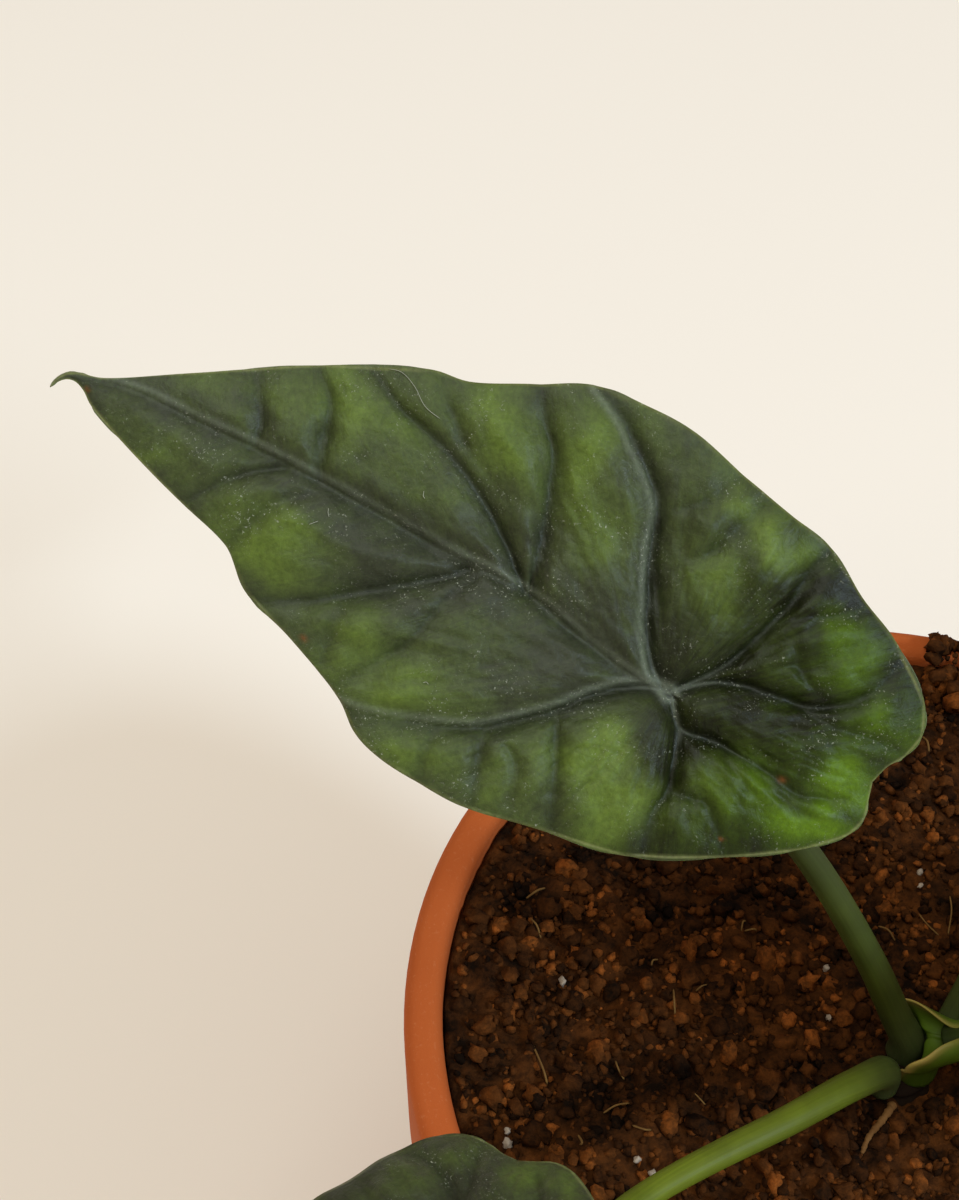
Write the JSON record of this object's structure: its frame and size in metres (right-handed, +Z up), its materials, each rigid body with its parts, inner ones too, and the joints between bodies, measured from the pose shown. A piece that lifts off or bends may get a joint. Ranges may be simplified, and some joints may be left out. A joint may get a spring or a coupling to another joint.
{
  "type": "potted alocasia sinuata",
  "caption": "Young alocasia sinuata with thick quilted arrow-shaped leaves on slender stalks, planted in soil in a plain round terracotta pot.",
  "frame": {"origin": "on the ground under the middle of the pot, which is also the middle of the plant's reach", "axes": "+Z up along the pot's axis; -Y towards the viewer of the picture, +X to the viewer's right"},
  "size_m": [0.2299, 0.2547, 0.2358],
  "materials": {
    "terracotta": "matte",
    "potting_soil": "matte",
    "stem": "satin",
    "dry_root": "matte",
    "leaf_stalk": "satin",
    "leaf_blade": "satin"
  },
  "bodies": {
    "root": {"pot": "terracotta", "soil": "potting_soil", "crown": "stem", "dry_root": "dry_root", "petiole_1": "leaf_stalk", "petiole_2": "leaf_stalk", "petiole_3": "leaf_stalk", "petiole_4": "leaf_stalk", "blade_1": "leaf_blade", "blade_2": "leaf_blade", "blade_3": "leaf_blade", "blade_4": "leaf_blade"}
  },
  "joints": []
}
